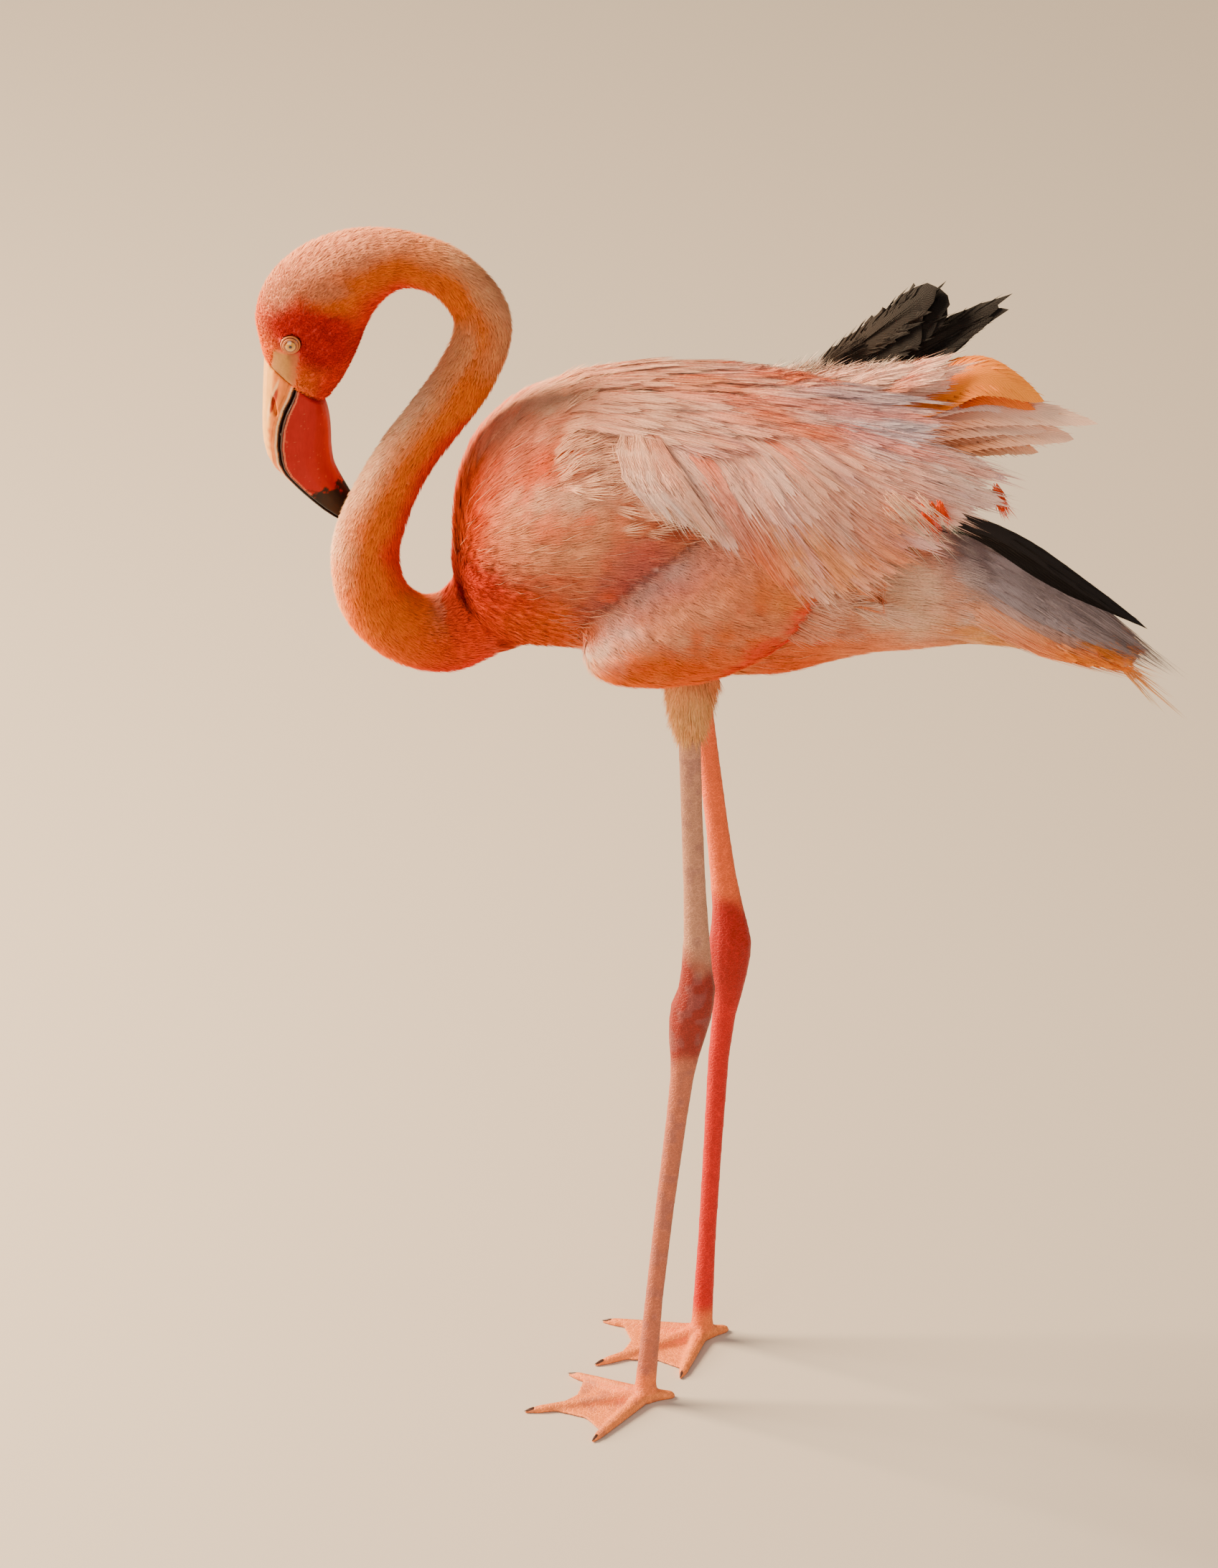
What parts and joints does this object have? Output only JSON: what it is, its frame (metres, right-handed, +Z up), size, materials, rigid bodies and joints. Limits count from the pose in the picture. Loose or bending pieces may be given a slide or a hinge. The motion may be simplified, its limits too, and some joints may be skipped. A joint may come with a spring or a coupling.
{
  "type": "flamingo",
  "caption": "Life-size standing American flamingo with its neck folded down, its bent bill beside the neck, a drooped near wing and black flight feathers over the rump.",
  "frame": {"origin": "on the floor, under the middle of the bird's bounding box", "axes": "+Z up; the bird faces -X, its left side is -Y"},
  "size_m": [0.6382, 0.215, 0.8751],
  "materials": {
    "plumage": "soft pink-orange feathers over flesh",
    "back_plumage": "pale pink long back feathers",
    "flight_black": "black flight feathers",
    "leg_skin": "pink-red scaly skin",
    "bill_pale": "pale horn, black towards the tip",
    "bill_red": "red horn, black towards the tip",
    "eye_yellow": "glossy pale yellow eyeball with a dark pupil"
  },
  "bodies": {
    "root": {"torso": "plumage", "neck_base": "plumage", "neck_lower": "plumage", "neck_middle": "plumage", "neck_upper": "plumage", "head": "plumage", "leg_left_thigh": "plumage", "leg_right_thigh": "plumage", "wing_left": "plumage", "wing_right": "plumage", "tail": "plumage", "tail_wisps": "plumage", "mantle": "back_plumage", "tertials_right": "back_plumage", "primaries_left": "flight_black", "primaries_right": "flight_black", "leg_left_shin": "leg_skin", "leg_left_shank": "leg_skin", "leg_left_foot": "leg_skin", "leg_right_shin": "leg_skin", "leg_right_shank": "leg_skin", "leg_right_foot": "leg_skin", "bill_upper": "bill_pale", "bill_lower": "bill_red", "eye_left": "eye_yellow", "eye_right": "eye_yellow"}
  },
  "joints": []
}
